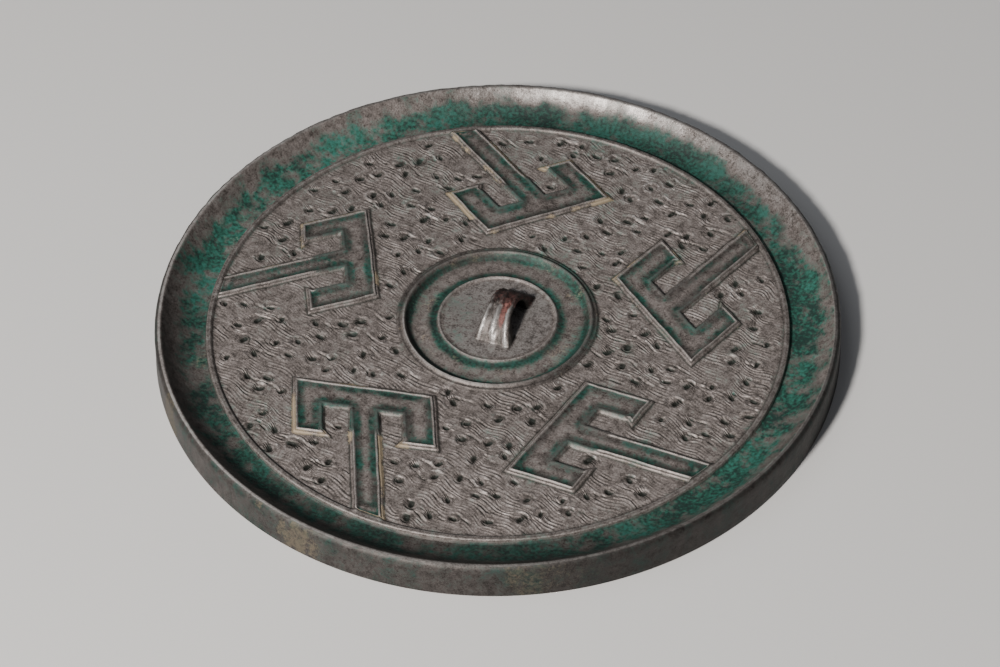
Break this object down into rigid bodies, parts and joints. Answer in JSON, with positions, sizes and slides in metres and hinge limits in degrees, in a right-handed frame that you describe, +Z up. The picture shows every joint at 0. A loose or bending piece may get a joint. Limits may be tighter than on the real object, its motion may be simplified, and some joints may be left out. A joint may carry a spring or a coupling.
{
  "type": "ancient bronze mirror",
  "caption": "Round cast bronze mirror lying on its polished face: raised lip, hollow border, slanting pronged motifs on a scrollwork ground, ringed centre with a small ribbed cord loop.",
  "frame": {"origin": "middle of the flat polished face that the mirror lies on", "axes": "+Z up, out of the decorated back; +X along the cord hole through the knob"},
  "size_m": [0.1526, 0.1526, 0.0095],
  "materials": {
    "bronze": "dull aged bronze with warm grey high spots, green patina in the border and hollows, and tan and red-brown corrosion"
  },
  "bodies": {
    "root": {"mirror": "bronze"}
  },
  "joints": []
}
